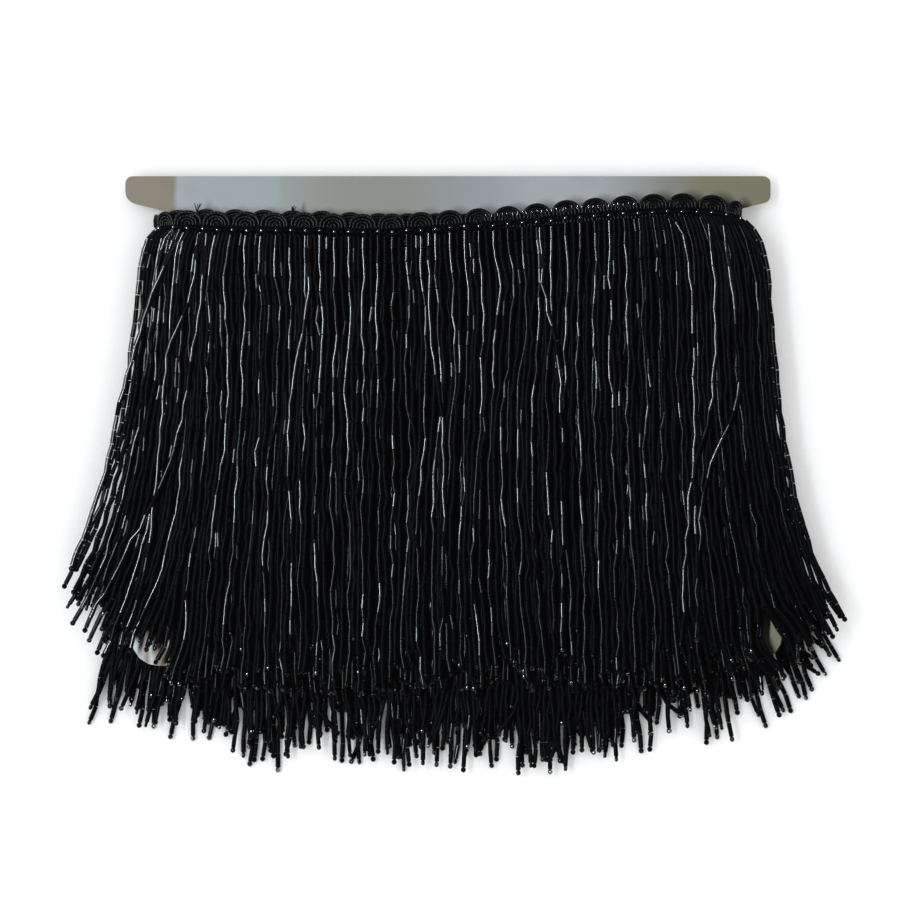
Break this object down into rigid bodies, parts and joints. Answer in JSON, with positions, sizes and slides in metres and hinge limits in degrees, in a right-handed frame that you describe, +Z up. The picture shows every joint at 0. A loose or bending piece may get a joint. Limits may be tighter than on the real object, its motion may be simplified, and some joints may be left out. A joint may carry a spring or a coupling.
{
  "type": "bugle bead fringe trim wound on a winding card",
  "caption": "Gimp braid heading with a long fringe of black glass bugle bead strands, wound round a notched winding card and lying flat.",
  "frame": {"origin": "bottom centre of the whole object's box, on the surface it lies on", "axes": "+X along the heading, to the right as seen from above; +Y up the card, from the tips to the heading; +Z up from the surface, out of the card's front"},
  "size_m": [0.329, 0.2502, 0.0159],
  "materials": {
    "card_board": "satin coated",
    "gimp_braid": "twisted rayon cord, slight sheen",
    "bead_glass": "opaque black, glossy"
  },
  "bodies": {
    "root": {"card": "card_board", "heading": "gimp_braid", "fringe_front_1": "bead_glass", "fringe_front_2": "bead_glass", "fringe_front_3": "bead_glass", "fringe_front_4": "bead_glass", "fringe_back_1": "bead_glass", "fringe_back_2": "bead_glass", "fringe_back_3": "bead_glass"}
  },
  "joints": []
}
